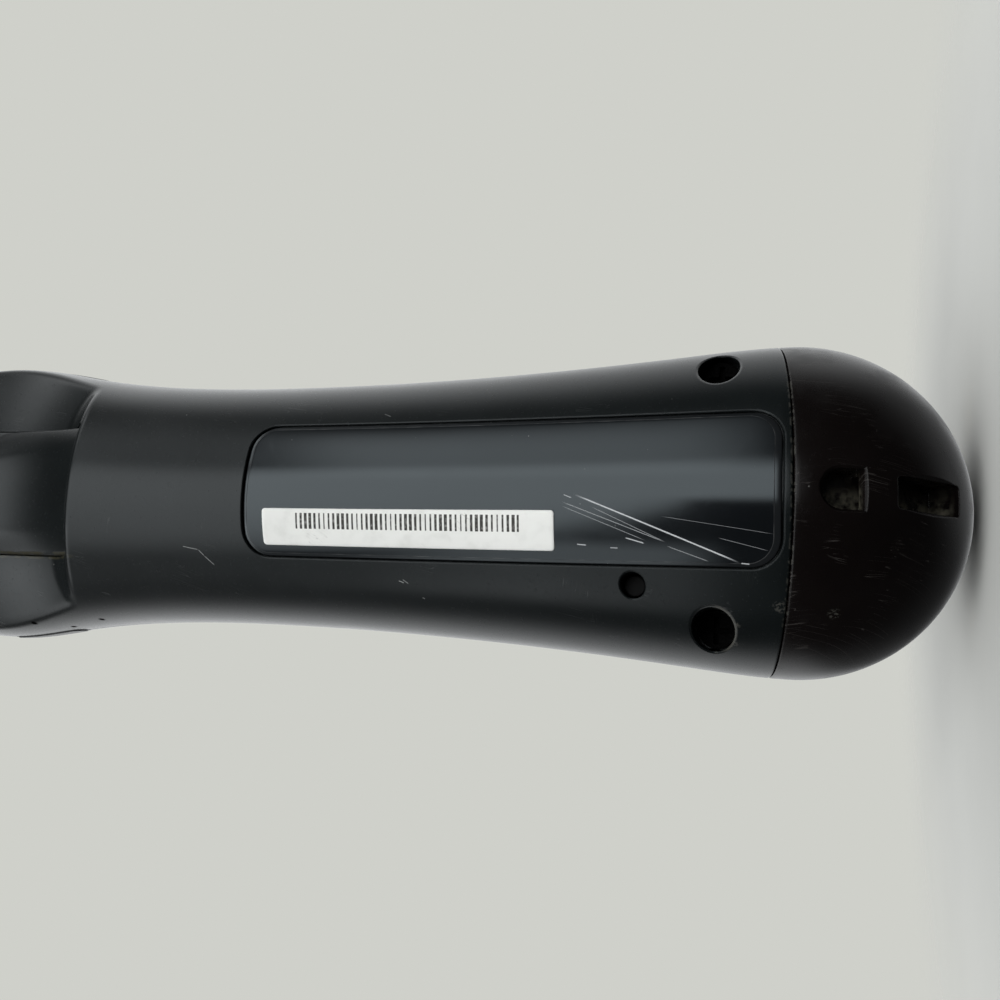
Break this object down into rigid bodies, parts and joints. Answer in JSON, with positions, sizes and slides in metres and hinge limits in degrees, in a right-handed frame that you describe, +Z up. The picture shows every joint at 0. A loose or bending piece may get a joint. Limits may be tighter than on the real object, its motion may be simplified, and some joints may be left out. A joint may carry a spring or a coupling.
{
  "type": "motion controller wand",
  "caption": "Handheld motion controller wand: waisted black grip with a milky ball on its neck, front buttons, rear trigger in a finger scoop, strap bar and sockets in the end cap.",
  "frame": {"origin": "pole of the round end cap, on the wand's axis", "axes": "+Z up the wand towards the ball, +Y out of the button side, -Y out of the trigger and label side"},
  "size_m": [0.045, 0.045, 0.1999],
  "materials": {
    "shell": "satin moulded black plastic",
    "cap": "smooth warm black plastic",
    "collar": "satin moulded black plastic",
    "ball": "soft milky white skin",
    "label": "glossy dark panel, bare",
    "sticker": "plain white sticker",
    "trigger": "satin moulded black plastic",
    "main_button": "smooth black plastic",
    "button": "satin black plastic",
    "steel": "plain steel",
    "screw": "dark plated steel",
    "weight": "sintered heavy metal",
    "black_rubber": "black rubber",
    "grey_rubber": "grey silicone",
    "clear_plastic": "clear plastic",
    "chip": "moulded black plastic",
    "board": "green board",
    "ribbon": "amber film",
    "battery": "wrapped cell",
    "inner_plastic": "plain dark plastic",
    "lead": "insulated wire",
    "gold": "plated contact"
  },
  "bodies": {
    "grip": {"front_shell": "shell", "rear_shell": "shell", "end_cap": "cap", "neck_collar": "collar", "ball": "ball", "label_plate": "label", "sticker": "sticker", "trigger_pin": "steel", "trigger_spring": "steel", "trigger_sensor": "black_rubber", "status_light": "clear_plastic", "reset_switch": "chip", "main_board": "board", "board_chips": "chip", "keypad_mat": "grey_rubber", "side_switches": "chip", "light_board": "board", "colour_light": "clear_plastic", "light_guide": "clear_plastic", "light_ribbon": "ribbon", "battery": "battery", "battery_frame": "inner_plastic", "battery_lead": "lead", "motor_holder": "black_rubber", "motor": "steel", "port_board": "board", "charging_socket": "steel", "extension_socket": "inner_plastic", "charging_contacts": "gold", "case_screws": "screw", "board_screws": "screw", "light_screws": "screw"},
    "trigger": {"trigger": "trigger"},
    "main_button": {"main_button": "main_button"},
    "face_button_a": {"face_button_a": "button"},
    "face_button_b": {"face_button_b": "button"},
    "face_button_c": {"face_button_c": "button"},
    "face_button_d": {"face_button_d": "button"},
    "home_button": {"home_button": "button"},
    "select_button": {"select_button": "button"},
    "start_button": {"start_button": "button"},
    "reset_button": {"reset_button": "button"},
    "motor_weight": {"motor_weight": "weight"}
  },
  "joints": [
    {"name": "trigger_pull", "type": "hinge", "parent": "grip", "child": "trigger", "pos_m": [0, -0.0085, 0.14], "axis": [1, 0, 0], "range_deg": [0, 9], "stiffness_Nm_per_rad": 0.12, "deforming": ["trigger_spring"]},
    {"name": "main_press", "type": "slide", "parent": "grip", "child": "main_button", "axis": [0, -1, 0], "range_m": [0, 0.0007], "stiffness_N_per_m": 900},
    {"name": "face_a_press", "type": "slide", "parent": "grip", "child": "face_button_a", "axis": [0, -1, 0], "range_m": [0, 0.0007], "stiffness_N_per_m": 700},
    {"name": "face_b_press", "type": "slide", "parent": "grip", "child": "face_button_b", "axis": [0, -1, 0], "range_m": [0, 0.0007], "stiffness_N_per_m": 700},
    {"name": "face_c_press", "type": "slide", "parent": "grip", "child": "face_button_c", "axis": [0, -1, 0], "range_m": [0, 0.0007], "stiffness_N_per_m": 700},
    {"name": "face_d_press", "type": "slide", "parent": "grip", "child": "face_button_d", "axis": [0, -1, 0], "range_m": [0, 0.0007], "stiffness_N_per_m": 700},
    {"name": "home_press", "type": "slide", "parent": "grip", "child": "home_button", "axis": [0, -1, 0], "range_m": [0, 0.0006], "stiffness_N_per_m": 700},
    {"name": "select_press", "type": "slide", "parent": "grip", "child": "select_button", "axis": [-1, 0, 0], "range_m": [0, 0.0005], "stiffness_N_per_m": 700},
    {"name": "start_press", "type": "slide", "parent": "grip", "child": "start_button", "axis": [1, 0, 0], "range_m": [0, 0.0005], "stiffness_N_per_m": 700},
    {"name": "reset_press", "type": "slide", "parent": "grip", "child": "reset_button", "axis": [0, 1, 0], "range_m": [0, 0.0004], "stiffness_N_per_m": 700},
    {"name": "motor_spin", "type": "hinge", "parent": "grip", "child": "motor_weight", "pos_m": [0, -0.001, 0.0995], "axis": [1, 0, 0], "continuous": true}
  ]
}
